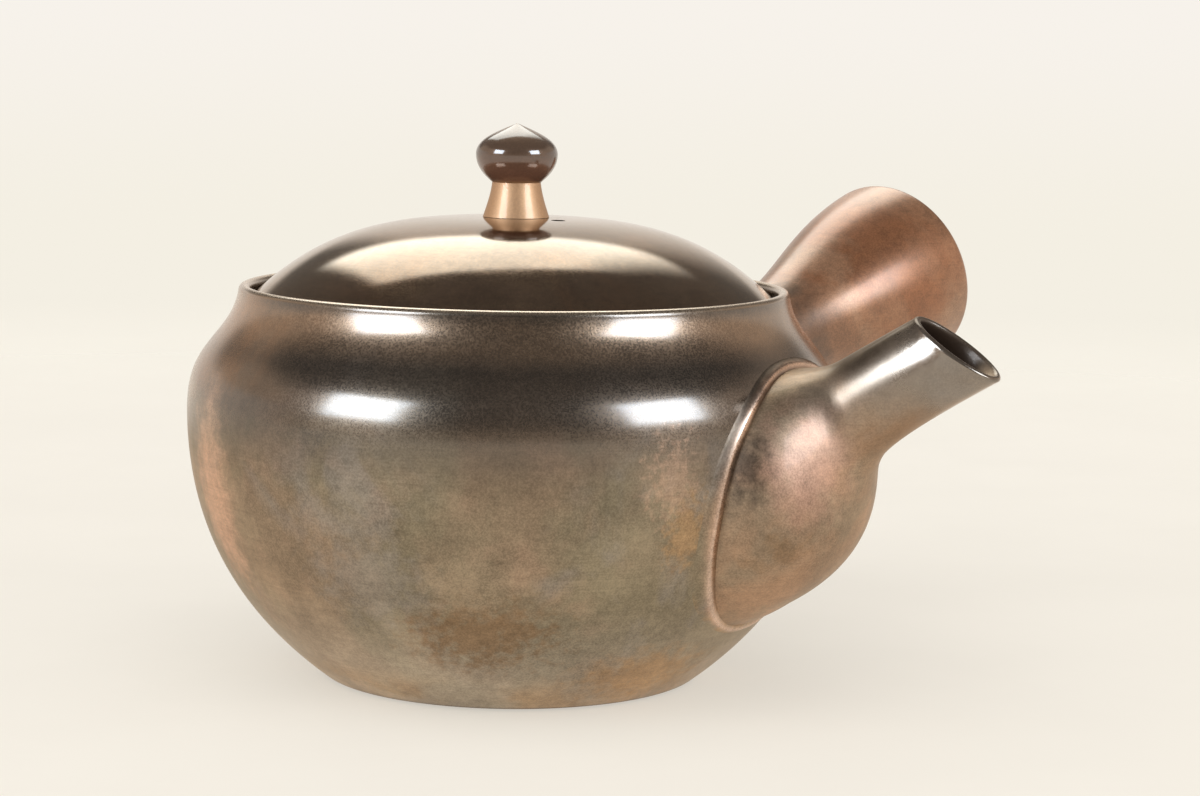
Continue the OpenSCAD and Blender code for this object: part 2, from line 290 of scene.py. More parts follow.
def cloud(place, size, detail=5.0, rough=0.55, warp=0.0, shift=0.0):
    """Noise with features of a size in mm, read at the place moved by a shift."""
    moved = place.node("VectorMath", {0: place, 1: (shift, shift * 0.7, -shift * 0.4)}, operation="ADD")
    return place.node("TexNoise", {"Vector": moved, "Scale": 1 / MM / size, "Detail": detail,
                                   "Roughness": rough, "Distortion": warp})


def drift(place, size, amount, **how):
    """Noise about zero: a cloud less its mean of a half, times an amount."""
    return (cloud(place, size, **how) - 0.5) * amount


def brushed(place, across, length, tilt=(0.0, 0.0, 0.0)):
    """Noise drawn out into strokes: the place is turned by tilt, then each axis is divided by its
    own size in mm, which is long along X and Y and narrow along Z."""
    finer = tuple(1 / MM / size for size in (length, length, across))
    drawn_out = place.node("Mapping", {"Vector": place, "Rotation": tilt, "Scale": finer})
    return place.node("TexNoise", {"Vector": drawn_out, "Scale": 1.0, "Detail": 3.0, "Roughness": 0.6})


def stain(place, at, reach, ragged, size=6.0):
    """A soft patch: 1 at a point in mm and 0 at its reach along each axis, with an edge that noise of a
    size in mm frays."""
    centre, stretch = (tuple(MM * v for v in triple) for triple in (at, reach))
    local = place.node("Mapping", {"Vector": place, "Location": centre, "Scale": stretch},
                       vector_type="TEXTURE")
    distance = place.node("VectorMath", {0: local}, out=1, operation="LENGTH")
    frayed = distance + drift(place, size, 4 * ragged, shift=at[0] * MM)
    return frayed.rise(1.05, 0.25)


def stained(place, colour, *stains):
    """Lays stains over a colour one after another: each has its point, its reach, how ragged it is and
    the size of that, its strength and its tint."""
    for at, reach, ragged, size, strength, tint in stains:
        colour = (stain(place, at, reach, ragged, size) * strength).mix(colour, tint)
    return colour


def height(place):
    """The Z of the place, in mm."""
    return place.node("SeparateXYZ", {0: place}, out=2) * (1 / MM)


def peppered(place, size=0.32):
    """Fine crystals in the glaze: noise of about a third of a millimetre, sharpened."""
    return cloud(place, size, detail=2.0, rough=0.7).rise(0.36, 0.66)


def finished(shader, place, colour, rough, coat, bump, depth):
    """Wires a glaze up: colour, roughness, coat weight and a fine relief of a depth in mm."""
    colour.into(shader, "Base Color")
    rough.into(shader, "Roughness")
    coat.into(shader, "Coat Weight")
    relief = {"Height": bump, "Strength": 1.0, "Distance": depth * MM}
    place.node("Bump", relief).into(shader, "Normal")


bronze, olive, steel = tone(152, 131, 108), tone(142, 129, 106), tone(150, 140, 129)
umber, collar_brown, copper = tone(80, 68, 58), tone(140, 115, 92), tone(204, 164, 138)
rust, ochre, pale_table_reflection = tone(142, 112, 82), tone(180, 144, 104), tone(196, 184, 168)
light_bronze, amber = tone(176, 154, 128), tone(154, 110, 70)
rim_tan_and_highlight, bare_clay = tone(160, 142, 122), tone(96, 76, 60)


def broken_ground(place, z):
    """The glaze's ground: bronze that clouds to olive, steel and copper, dark on the shoulder and brown on
    the collar, with a painted reflection of the pale table near the foot."""
    on_shoulder, table_reflection_near_foot = z.rise(34.0, 51.0), z.rise(22.0, 3.0)
    on_collar = z.rise(56.5, 60.0) * z.rise(65.0, 63.0)
    colour = cloud(place, 30.0, warp=0.6).rise(0.42, 0.62).mix(bronze, olive)
    colour = (cloud(place, 19.0, warp=0.8, shift=0.11).rise(0.5, 0.66) * 0.65).mix(colour, steel)
    colour = (cloud(place, 14.0, detail=7.0, shift=0.23).rise(0.5, 0.74) * 0.3).mix(colour, copper)
    colour = (on_shoulder * 0.88).mix(colour, umber)
    colour = (on_collar * 0.75).mix(colour, collar_brown)
    # Towards the foot the ground is mixed with a painted reflection of the pale table.
    return (table_reflection_near_foot * 0.5).mix(colour, pale_table_reflection)


def grained(place, crystals):
    """How light the ground is from place to place: fine crystals, dark specks, clouds and short
    burnished strokes."""
    specks = drift(place, 1.6, 0.8, detail=6.0, rough=0.72, shift=0.6)
    clouds = drift(place, 11.0, 0.6, detail=6.0, rough=0.62, warp=0.4, shift=0.7)
    burnished = cloud(place, 20.0, shift=0.3).rise(0.45, 0.6)
    strokes = brushed(place, 0.35, 22.0, tilt=(0.4, -0.45, 0.0)) * burnished
    return 0.74 + crystals * 0.28 + specks + clouds + strokes * 0.42


pot_glaze, shader, place = new_glaze("bronze_lustre", Metallic=0.95, Coat_Roughness=0.17, Coat_IOR=1.75,
                                     Specular_Tint=(1.0, 0.88, 0.77, 1.0))
z = height(place)
crystals = peppered(place)
wheel_lines = brushed(place, 0.5, 60.0)
pooled = z.rise(8.0, 2.0) * cloud(place, 16.0, shift=0.4).rise(0.4, 0.6)
collar_crease_shade = z.rise(54.6, 56.0) * z.rise(57.8, 56.4)
glassy, rim_top_highlight, raw_foot = z.rise(38.0, 50.0), z.rise(64.9, 65.5), z.rise(0.35, 0.1)
colour = (pooled * 0.5).mix(broken_ground(place, z), ochre)
colour = stained(place, colour,
                 ((18.8, -42.6, 15.0), (15.0, 15.0, 8.0), 0.5, 1.8, 0.75, rust),
                 ((-30.0, -45.0, 30.0), (9.0, 9.0, 26.0), 0.25, 3.0, 0.8, copper),
                 ((35.0, -18.0, 6.5), (15.0, 15.0, 6.0), 0.4, 2.5, 0.7, ochre),
                 ((46.6, -26.8, 31.0), (4.5, 4.5, 8.0), 0.5, 1.6, 0.7, ochre),
                 ((45.4, -30.0, 40.0), (5.0, 5.0, 8.0), 0.8, 1.2, 0.25, copper),
                 ((4.0, -51.0, 23.0), (13.0, 13.0, 10.0), 0.4, 2.5, 0.6, steel),
                 ((19.5, -46.0, 24.0), (10.0, 10.0, 6.5), 0.4, 2.5, 0.6, light_bronze),
                 ((-38.0, -34.0, 58.0), (28.0, 28.0, 13.0), 0.3, 6.0, 0.55, amber))
# In the crease where the collar meets the shoulder, the colour is darkened as painted shade.
colour = colour.scaled(grained(place, crystals) + (wheel_lines - 0.5) * 0.16 - collar_crease_shade * 0.18)
# The rim's top is lightened to tan: partly the glaze thinning on the edge, partly a painted highlight.
colour = raw_foot.mix(rim_top_highlight.mix(colour, rim_tan_and_highlight), bare_clay)
rough = 0.35 - glassy * 0.12 + crystals * 0.12 + drift(place, 9.0, 0.2, shift=0.5) + raw_foot * 0.3
coat = (0.08 + glassy * 0.7 - crystals * 0.06) * (1 - raw_foot)
finished(shader, place, colour, rough, coat, crystals * 0.4 + wheel_lines, 0.005)
pot.data.materials.append(pot_glaze)
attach(pot, "pot")
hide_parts("body")

# The spout: a hollow bulb pulled up into a short tube with an oblique mouth. It is shaped
# in plastic clay, cut to the belly's curve and luted on with slip before the glaze is fired,
# which leaves it rose-copper on the bulb and gunmetal along the tube. The rose on the bulb
# is partly a painted highlight.
ROUND = 144
spout_tip = np.array([86.8, 55.5])
mouth_l, mouth_tilt = 16.8, 33.0
crotch, crotch_turn = np.array([65.6, 39.7]), 82.0
neck_h, neck_lean, neck_turn = 18.0, 20.0, 32.0
spout_foot_x, spout_foot_low, spout_foot_top = 43.0, 11.8, 54.8
spout_foot_w, neck_w, mouth_w = 43.4, 16.6, 11.0
bulb_full, bulb_fall, bulb_square, blend = 3.2, 1.7, 0.25, 0.18
spout_wall, tube_wall, lip_t = 2.6, 1.5, 1.2
lip_steps, lip_bulge = 7, lip_t / 2.3
in_pot, at_neck, at_mouth = 0.0, 1.0, 2.0
mouth_back = spout_tip + mouth_l * way(180 - mouth_tilt)
neck_top = crotch + neck_h * way(90 + neck_lean)
low_bulb = drawn((spout_foot_x, spout_foot_low), 22, 0.585, crotch, crotch_turn, 0.34)
low_tube = drawn(crotch, crotch_turn, 0.14, spout_tip, 31, 0.315)
top_bulb = drawn((spout_foot_x, spout_foot_top), 2, 0.4, neck_top, neck_turn, 0.185)
top_tube = drawn(neck_top, neck_turn, 0.21, mouth_back, 30, 0.21)


def smooth_step(x):
    """A smooth step from 0 to 1: x^2 (3 - 2x)."""
    return x**2 * (3 - 2 * x)


def spout_section(t, a, sunk):
    """A point of the raw section at t and a: between the guide lines, an ellipse that gets squarer
    towards the foot, as cos and sin are taken to a power below 1. The bulb's half width falls to the
    neck's with (1 - t^full)^fall, and the tube's goes from there to the mouth's in a smooth step."""
    bulb, tube, in_bulb = np.clip(t, 0, 1), np.clip(t - at_neck, 0, 1), t < at_neck
    top = np.where(in_bulb[..., None], along(top_bulb, bulb), along(top_tube, tube))
    low = np.where(in_bulb[..., None], along(low_bulb, bulb), along(low_tube, tube))
    width = np.where(in_bulb, neck_w + (spout_foot_w - neck_w) * (1 - bulb**bulb_full) ** bulb_fall,
                     mouth_w + (neck_w - mouth_w) * smooth_step(1 - tube))
    power = 2 / (2 + bulb_square * (1 - bulb))
    across, up = (np.sign(v) * np.abs(v) ** power for v in (np.sin(a), np.cos(a)))
    half = (top - low) / 2
    share = 1 - sunk / np.linalg.norm(half, axis=-1)
    flat = (top + low) / 2 + half * (share * up)[..., None]
    return np.stack([flat[..., 0], -(width / 2 - sunk) * across, flat[..., 1]], -1)


def spout_point(t, a, sunk=0.0):
    """A point of the spout, sunk below its face: t runs from 0 in the pot over 1 at the neck to 2 at the
    mouth, and a goes round from the top. It is the mean of five sections near t, which melts the bulb
    into the tube."""
    t, a, sunk = np.broadcast_arrays(np.asarray(t, float), np.asarray(a, float), np.asarray(sunk, float))
    reach = np.minimum(blend, np.minimum(t, at_mouth - t))
    return np.mean([spout_section(t + k * reach, a, sunk) for k in (-1, -0.5, 0, 0.5, 1)], 0)


def spout_inner(t, a):
    """The spout's inner face: its wall thins evenly from the neck to the mouth, and again with a square
    over the last sixth of the tube, at the lip."""
    tube = np.clip(np.asarray(t) - at_neck, 0, 1)
    near_lip = np.clip(6 * tube - 5, 0, 1)
    return spout_point(t, a, spout_wall - (spout_wall - tube_wall) * tube - (tube_wall - lip_t) * near_lip**2)


def leaves_pot(face, a, low, high, halvings=40):
    """Where the line of a face at each angle comes out of the pot's wall: the range is halved each time."""
    low, high = np.full_like(a, low), np.full_like(a, high)
    for _ in range(halvings):
        t = (low + high) / 2
        p = face(t, a)
        buried = np.hypot(p[..., 0], p[..., 1]) < pot_radius(p[..., 2]) + slip
        low, high = np.where(buried, t, low), np.where(buried, high, t)
    return high


def hollow(name, outer_rows, lip_rows, inner_rows):
    """A closed hollow piece: rows up its outer face, round its lip and back down its inner face."""
    grid = np.concatenate([outer_rows, lip_rows, inner_rows])
    return fired(name, grid.reshape(-1, 3), [wrapped(grid.shape[0], grid.shape[1], True)])


def marked(piece, name, values):
    """Gives each point of a piece a number, which its glaze reads as an attribute."""
    piece.data.attributes.new(name, "FLOAT", "POINT").data.foreach_set("value", values)


round_spout = circle(ROUND)
foot_out = leaves_pot(spout_point, round_spout, in_pot, at_neck)
foot_in = leaves_pot(spout_inner, round_spout, in_pot, at_neck)
up_spout, down_spout = np.linspace(0, 1, 121)[:, None], np.linspace(1, 0, 61)[:, None]
across_mouth, out_of_mouth = way(90 - mouth_tilt)
mouth_out = np.array([across_mouth, 0, out_of_mouth])
lip_share = np.linspace(0, 1, lip_steps + 2)[1:-1]
lip_turn = np.radians(180 * lip_share)[:, None]
lip_sunk = lip_t * (1 - np.cos(lip_turn)) / 2
spout_lip = spout_point(np.full((lip_steps, ROUND), at_mouth), round_spout, lip_sunk)
spout = hollow("spout_tube",
               spout_point(foot_out + (at_mouth - foot_out) * up_spout, round_spout),
               spout_lip + (lip_bulge * np.sin(lip_turn))[..., None] * mouth_out,
               spout_inner(foot_in + (at_mouth - foot_in) * down_spout, round_spout))
within = np.concatenate([np.zeros(len(up_spout)), lip_share, np.ones(len(down_spout))])
marked(spout, "inside", np.repeat(within, ROUND))

spout_glaze, shader, place = new_glaze("gunmetal_lustre", Coat_Roughness=0.12, Coat_IOR=1.5,
                                       Specular_Tint=(1.0, 0.84, 0.7, 1.0))
gunmetal, mouth_grey, tube_top_dark_reflection = tone(144, 129, 114), tone(140, 133, 126), tone(64, 54, 46)
rose_and_highlight, brown, tube_underside_brown = tone(178, 140, 119), tone(168, 136, 109), tone(142, 110, 82)
shaded_inner_brown, painted_inner_glint = tone(56, 44, 36), tone(206, 182, 154)
crystals = peppered(place)
on_tube = stain(place, (74.0, 0.0, 60.0), (27.0, 27.0, 22.0), 0.2)
near_mouth = stain(place, (86.0, 0.0, 65.0), (22.0, 22.0, 22.0), 0.15)
back_lip = stain(place, (71.5, 0.0, 66.0), (5.5, 9.0, 4.5), 0.0)
inner_glint_patch = stain(place, (84.6, -0.5, 57.0), (5.0, 5.0, 4.0), 0.1)
inside = place.node("Attribute", {}, out="Fac", attribute_name="inside")
lip = inside * (1 - inside) * 4
colour = cloud(place, 15.0, warp=0.5).rise(0.4, 0.64).mix(brown, bronze)
# The rose patch on the bulb lies where its soft highlight falls: partly rose glaze, partly a painted
# highlight.
colour = stained(place, colour,
                 ((61.0, -14.0, 42.0), (10.0, 12.0, 12.0), 0.4, 6.0, 0.8, rose_and_highlight),
                 ((53.0, -21.0, 42.0), (5.0, 6.0, 9.0), 0.5, 2.5, 0.8, umber),
                 ((61.0, -17.0, 27.0), (9.0, 9.0, 6.0), 0.5, 3.0, 0.6, rust))
colour = (near_mouth * 0.6).mix(on_tube.mix(colour, gunmetal), mouth_grey)
colour = stained(place, colour,
                 # Browner and darker along the underside of the tube.
                 ((75.0, -2.0, 45.0), (15.0, 11.0, 7.5), 0.3, 6.0, 0.7, tube_underside_brown),
                 # Two dark patches along the top of the tube: a painted dark reflection.
                 ((62.0, -3.0, 61.0), (14.0, 9.0, 9.0), 0.2, 6.0, 0.95, tube_top_dark_reflection),
                 ((70.0, -1.0, 67.0), (11.0, 9.0, 7.5), 0.2, 6.0, 0.95, tube_top_dark_reflection))
# Inside the tube the colour is a dark brown, partly its glaze and partly painted shade, with a painted glint
# on the inner wall near the tip.
colour = inside.mix(colour, inner_glint_patch.mix(shaded_inner_brown, painted_inner_glint))
# The lip turns umber: partly its dark brown glaze, partly a painted dark reflection on its rounded edge.
colour = (lip * 0.85).mix(colour, umber)
colour = colour.scaled(grained(place, crystals) * (1 - on_tube * 0.6) + on_tube * 0.57)
rough = 0.46 - on_tube * 0.14 - near_mouth * 0.24 + crystals * 0.06 + drift(place, 7.0, 0.14, shift=0.5)
rough = rough + inside * 0.2 + back_lip * 0.2
coat = (0.15 + near_mouth * 0.65) * (1 - inside * 0.85) * (1 - back_lip * 0.9)
bump = (crystals * 0.4 + cloud(place, 2.5, shift=0.2)) * (1 - on_tube * 0.6)
finished(shader, place, colour, rough, coat, bump, 0.006)
(0.85 - inside * 0.6).into(shader, "Metallic")
spout.data.materials.append(spout_glaze)
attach(spout, "pot")
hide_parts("spout")

# The bead round the spout's foot: a rope of soft clay pressed into the corner between
# spout and pot and smoothed out over the belly with a wet finger. It hides and
# strengthens the luted joint. The glaze breaks to copper along its crest, and a pale
# highlight is painted along the crest as well.
def pot_normal(p, step=0.2):
    """Outward normal of the pot at points on it: radial, tilted back by the outline's slope."""
    lean = (pot_radius(p[..., 2] + step) - pot_radius(p[..., 2] - step)) / (2 * step)
    r = np.hypot(p[..., 0], p[..., 1])
    return unit(np.stack([p[..., 0] / r, p[..., 1] / r, -lean], -1))


def bead(name, face, low, high, count, crest, spread, top_share=1.0, foot_share=1.0):
    """A bead along the seam of a face with the pot. Its section starts low on the face, swells to the
    crest in a quarter sine, falls in a smooth step and runs out in a hollow skirt over the spread, and
    closes underneath. The attribute ridge is a bell curve about the crest, where the glaze is thin and
    a highlight is painted. Both sizes shrink to the top share towards the top, and in a smooth step to
    the foot share over the lowest third."""
    rows, crowding, up_step = 33, 1.3, 0.02
    crest_at, fall_run, lean_run, ridge_width = 0.25, 0.6, 0.3, 0.12
    start, skirt_part, tuck, depth = 0.7, 0.15, 0.08, 0.3
    a = circle(count)
    lowest = np.clip(-2 * np.cos(a) - 1, 0, 1)
    size = top_share + (1 - top_share) * (1 - np.cos(a)) / 2
    size = (size * (1 - (1 - foot_share) * smooth_step(lowest)))[:, None]
    t = leaves_pot(face, a, low, high)
    seam = face(t, a)
    up = unit(face(t + up_step, a) - seam)
    run = np.roll(seam, -1, 0) - np.roll(seam, 1, 0)
    out = unit(np.cross(pot_normal(seam), run))
    out *= np.sign(np.einsum("ij,ij->i", out, seam - seam.mean(0)))[:, None]
    share = np.linspace(0, 1, rows)[:, None, None] ** crowding
    foot = seam + share * spread * size * out
    fit = pot_radius(foot[..., 2]) / np.hypot(foot[..., 0], foot[..., 1])
    foot = foot * np.stack([fit, fit, np.ones_like(fit)], -1)
    swell = start + (1 - start) * np.sin(np.pi / 2 * np.clip(share / crest_at, 0, 1))
    fall = smooth_step(np.clip((share - crest_at) / fall_run, 0, 1))
    skirt = np.clip((1 - share) / (1 - crest_at), 0, 1) ** 2
    past_crest = (1 - skirt_part) * (1 - fall) + skirt_part * skirt
    rise = crest * size * np.where(share < crest_at, swell, past_crest) - tuck * share**4
    lean = np.clip(share / lean_run, 0, 1)
    skin = foot + rise * ((1 - lean) * up + lean * pot_normal(foot))
    under = foot[[-1, 0]] - depth * pot_normal(foot[[-1, 0]])
    grid = np.concatenate([skin, under]).transpose(1, 0, 2)
    piece = fired(name, grid.reshape(-1, 3), [wrapped(count, grid.shape[1], True)])
    ridge = np.exp(-(((share - crest_at) / ridge_width) ** 2)).ravel()
    marked(piece, "ridge", np.tile(np.append(ridge, np.zeros(len(under))), count))
    return piece


spout_bead = bead("spout_bead", spout_point, in_pot, at_neck, count=288, crest=1.2, spread=5.6,
                  top_share=0.45, foot_share=0.35)
bead_glaze, shader, place = new_glaze("copper_edge_lustre", Metallic=0.95, Coat_Roughness=0.2, Coat_IOR=1.5,
                                      Specular_Tint=(1.0, 0.88, 0.77, 1.0))
crest_copper_and_highlight = tone(214, 184, 162)
z = height(place)
crystals = peppered(place)
ridge = place.node("Attribute", {}, out="Fac", attribute_name="ridge")
near_ridge = ridge**0.25
crest_break_and_highlight = ridge * cloud(place, 7.0, shift=0.2).rise(0.3, 0.5, 0.45, 0.85)
pooled = z.rise(24.0, 14.0) * cloud(place, 5.0, shift=0.4).rise(0.4, 0.6)
colour = broken_ground(place, z)
colour = (cloud(place, 9.0, shift=0.3).rise(0.4, 0.58, 0.3, 0.8) * near_ridge).mix(colour, copper)
colour = (pooled * 0.6).mix(colour, ochre)
# The pale copper on the crest is partly thin glaze, partly a painted highlight.
colour = crest_break_and_highlight.mix(colour, crest_copper_and_highlight).scaled(grained(place, crystals))
rough = 0.36 - near_ridge * 0.1 + crystals * 0.12
coat = 0.14 + near_ridge * 0.3 - crystals * 0.1
finished(shader, place, colour, rough, coat, crystals, 0.003)
spout_bead.data.materials.append(bead_glaze)
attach(spout_bead, "pot")
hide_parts("spout_coil")

# The sieve: a half ball of thin clay, pierced with fine holes and luted inside the wall
# behind the spout, where it keeps the leaves back. Its glaze is thin and dull, so that
# the holes stay open.
sieve_clay, shader, place = new_glaze("thin_glazed_clay", Metallic=0.3, Coat_Roughness=0.3, Coat_IOR=1.5)
dull_brown, dull_tan = tone(92, 74, 58), tone(120, 100, 80)
crystals = peppered(place, 0.8)
colour = cloud(place, 9.0).rise(0.4, 0.62).mix(dull_brown, dull_tan).scaled(0.75 + crystals * 0.35)
finished(shader, place, colour, 0.5 + crystals * 0.15, 0.3 - crystals * 0.2, crystals, 0.02)
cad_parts["strainer"].material_slots[0].material = sieve_clay

# The handle: a hollow trumpet thrown by itself, cut to the belly and luted on to the side,
# a little less than square to the spout. Its open end lets steam out in the kiln and keeps
# the grip cool. The glaze is thin on it and fires copper-brown.
handle_az, handle_rise, handle_z = 77.0, 15.6, 47.2
handle_l, handle_root_r, handle_end_r, handle_wall = 56.0, 9.2, 18.0, 3.0
root_from, root_to = -14.0, 12.0
handle_axis = np.append(way(handle_az) * way(handle_rise)[0], way(handle_rise)[1])
handle_side = np.append(way(handle_az + 90), 0.0)
handle_up = np.cross(handle_axis, handle_side)
handle_at = np.append(belly_r * way(handle_az), handle_z)
grip = np.concatenate([[[root_from, handle_root_r]],
                       stroke(161, (0, handle_root_r), -3, 0.48, (handle_l, handle_end_r), 3, 0.37)])
grip_in = grip + handle_wall * right_of(grip)


def handle_point(s, a, r):
    """A point at the distance s along the handle's axis, r from it, at the angle a from its top."""
    s, a, r = (v[..., None] for v in np.broadcast_arrays(s, a, r))
    return handle_at + s * handle_axis + r * (np.cos(a) * handle_up + np.sin(a) * handle_side)


def handle_outer(s, a):
    """The outer face: the radius is read from the drawn grip."""
    return handle_point(s, a, np.interp(s, grip[:, 0], grip[:, 1]))


def handle_inner(s, a):
    """The inner face: the grip's curve moved in by the wall."""
    return handle_point(s, a, np.interp(s, grip_in[:, 0], grip_in[:, 1]))


round_handle = circle(ROUND)
root_out = leaves_pot(handle_outer, round_handle, root_from, root_to)
root_in = leaves_pot(handle_inner, round_handle, root_from, root_to)
up_handle, down_handle = np.linspace(0, 1, 97)[:, None], np.linspace(1, 0, 49)[:, None]
end_turn = np.radians(np.linspace(90, -90, 13)[1:-1])[:, None]
half_wall = handle_wall / 2
handle = hollow("trumpet_handle",
                handle_outer(root_out + (handle_l - root_out) * up_handle, round_handle),
                handle_point(handle_l + half_wall * np.cos(end_turn), round_handle,
                             handle_end_r - half_wall + half_wall * np.sin(end_turn)),
                handle_inner(root_in + (handle_l - root_in) * down_handle, round_handle))

handle_glaze, shader, place = new_glaze("copper_brown_lustre", Metallic=0.5, Coat_Roughness=0.24,
                                        Coat_IOR=1.5, Specular_Tint=(1.0, 0.86, 0.73, 1.0))
red_brown, pale_copper = tone(138, 90, 59), tone(146, 105, 77)
crystals = peppered(place)
colour = cloud(place, 24.0, warp=0.6).rise(0.4, 0.62).mix(red_brown, pale_copper)
colour = (cloud(place, 16.0, shift=0.2).rise(0.5, 0.64) * 0.4).mix(colour, brown)
colour = stained(place, colour, ((16.0, 62.0, 50.0), (20.0, 20.0, 20.0), 0.3, 6.0, 0.85, umber))
colour = colour.scaled(grained(place, crystals))
rough = 0.3 + crystals * 0.08 + drift(place, 12.0, 0.12, shift=0.5)
bump = crystals * 0.4 + cloud(place, 3.0, shift=0.2)
finished(shader, place, colour, rough, 0.65 - crystals * 0.1, bump, 0.005)
handle.data.materials.append(handle_glaze)
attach(handle, "pot")
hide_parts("handle")

# The bead round the handle's root: the same pressed rope of clay as at the spout,
# a little slimmer, smoothed into the belly and the collar above it.
handle_bead = bead("handle_bead", handle_outer, root_from, root_to, count=192, crest=0.8, spread=3.6)
handle_bead.data.materials.append(bead_glaze)
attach(handle_bead, "pot")
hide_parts("handle_coil")

# The lid: a thrown dome with a locating flange under it, turned to drop into the ledge with
# a hair's play, and pricked beside the knob so that steam gets out while the pot is poured.
# It is fired apart from the pot, and its glaze comes out darkest and smoothest.
lid_r, lid_z, lid_edge_z, lid_rise, lid_full, lid_t = 43.6, 62.3, 64.3, 13.0, 3.2, 3.0
flange_r, flange_in, flange_z = 38.5, 35.9, 54.2
lid_ease, edge_rows = 0.6, 4
vent_r, vent_az, vent_d, vent_from, vent_to = 9.6, -13.0, 2.4, 66.0, 80.0


def dome(r):
    """Height of the dome at a radius: the edge, plus the rise times one less the radius's share to a power."""
    return lid_edge_z + lid_rise * (1 - (r / lid_r) ** lid_full)


under = np.linspace(0, flange_in, 49)[:, None]
over = np.linspace(lid_r, 0, 129)[:, None]
under_dome, over_dome = np.hstack([under, dome(under) - lid_t]), np.hstack([over, dome(over)])
lid_profile = np.concatenate([
    under_dome[:-2],
    eased([*under_dome[-2:], (flange_in, flange_z), (flange_r, flange_z), (flange_r, lid_z),
           (lid_r, lid_z), (lid_r, lid_edge_z), over_dome[edge_rows]], lid_ease),
    over_dome[edge_rows + 1:],
])
lid = turned("domed_lid", lid_profile)
vent = vent_r * way(vent_az)
bored(lid, (*vent, vent_from), (*vent, vent_to), vent_d / 2, sides=32)

lid_glaze, shader, place = new_glaze("dark_lustre", Metallic=0.95, Coat_Roughness=0.08, Coat_IOR=1.5,
                                     Specular_Tint=(1.0, 0.94, 0.86, 1.0))
dark, dark_brown = tone(122, 102, 84), tone(127, 102, 81)
crystals = peppered(place)
colour = cloud(place, 20.0, warp=0.6).rise(0.4, 0.62).mix(dark, dark_brown)
colour = colour.scaled(0.1 + grained(place, crystals) * 0.9)
rough = 0.08 + crystals * 0.06 + cloud(place, 9.0, shift=0.5).rise(0.5, 0.7) * 0.06
bump = crystals * 0.4 + cloud(place, 5.0, shift=0.2) * 3
finished(shader, place, colour, rough, 0.6 - crystals * 0.2, bump, 0.0035)
lid.data.materials.append(lid_glaze)
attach(lid, "cover")
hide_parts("lid")

# The knob: turned with the lid's own clay, a waisted stem under a flat bulb of a head that
# rises to a point. It is luted on the middle of the lid. The glaze runs off the stem,
# which shows golden, and gathers darker and glossy on the head, whose upper half is
# painted darker still as a painted dark reflection.
knob_h, stem_foot_r, stem_r, stem_h, head_r, cap_h = 15.7, 5.6, 4.1, 5.8, 6.9, 5.2
knob_turns = 128
knob_z = dome(0) + slip
knob_tip, head_z = knob_z + knob_h, knob_z + stem_h
widest_z = knob_tip - cap_h
knob_profile = np.concatenate([
    [(0, knob_z)],
    stroke(33, (stem_foot_r, dome(stem_foot_r) + slip), 108, 0.35, (stem_r, head_z), 96, 0.35),
    stroke(33, (stem_r, head_z), 38, 0.3, (head_r, widest_z), 90, 0.4)[1:],
    stroke(49, (head_r, widest_z), 90, 0.3, (0, knob_tip), 157, 0.4)[1:],
])
knob = turned("turned_knob", knob_profile, knob_turns)

knob_glaze, shader, place = new_glaze("brown_head_lustre", Specular_IOR_Level=0.1, Coat_Roughness=0.1,
                                      Coat_IOR=1.8, Specular_Tint=(0.6, 0.52, 0.43, 1.0))
head_brown, head_dark_reflection = tone(132, 95, 77), tone(84, 64, 50)
cap_tan, golden = tone(120, 92, 68), tone(196, 156, 120)
z = height(place)
crystals = peppered(place)
on_stem, on_cap = z.rise(head_z + 0.6, head_z - 0.2), z.rise(widest_z + 1.5, knob_tip)
# The upper half of the head is painted darker than its lower half: a painted dark reflection of the dim room.
upper_head_reflection = (z + drift(place, 6.0, 3)).rise(widest_z - 3.2, widest_z + 0.8)
colour = (on_cap * 0.8).mix(upper_head_reflection.mix(head_brown, head_dark_reflection), cap_tan)
colour = on_stem.mix(colour, golden).scaled(0.9 + crystals * 0.12)
rough = 0.3 + crystals * 0.06 + on_stem * 0.18
finished(shader, place, colour, rough, 0.9 - on_stem * 0.7, crystals, 0.001)
(0.3 + on_stem * 0.4).into(shader, "Metallic")
knob.data.materials.append(knob_glaze)
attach(knob, "cover")
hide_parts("knob")

# The table: a pale cream sheet under the pot, which runs out of sight into the backdrop.
# It takes the pot's soft shadow, and fades where the backdrop takes over.
table_half, table_drop = 3.0, 0.0003
fade_from, fade_to = 0.22, 0.75
corners = [(x * table_half, y * table_half, -table_drop) for x, y in ((-1, -1), (1, -1), (1, 1), (-1, 1))]
floor_mesh = bpy.data.meshes.new("table")
floor_mesh.from_pydata(corners, [], [(0, 1, 2, 3)])
table = bpy.data.objects.new("table", floor_mesh)
bpy.context.scene.collection.objects.link(table)
paper, shader, place = new_glaze("cream_paper", Roughness=0.9, Specular_IOR_Level=0.1, Emission_Strength=0.6)
far = place.node("VectorMath", {0: place}, out=1, operation="LENGTH").rise(fade_from, fade_to)
cream = cloud(place, 60.0).rise(0.3, 0.7).mix(tone(244, 238, 227), tone(242, 236, 225))
cream.scaled(0.4).into(shader, "Base Color")
cream.into(shader, "Emission Color")
clear = place.node("BsdfTransparent", {})
seen = place.node("LightPath", {}, out="Is Camera Ray")
faded = place.node("MixShader", {0: far * seen, 1: Wire(place.tree, shader.outputs[0]), 2: clear})
faded.into(place.tree.nodes["Material Output"], "Surface")
table.data.materials.append(paper)

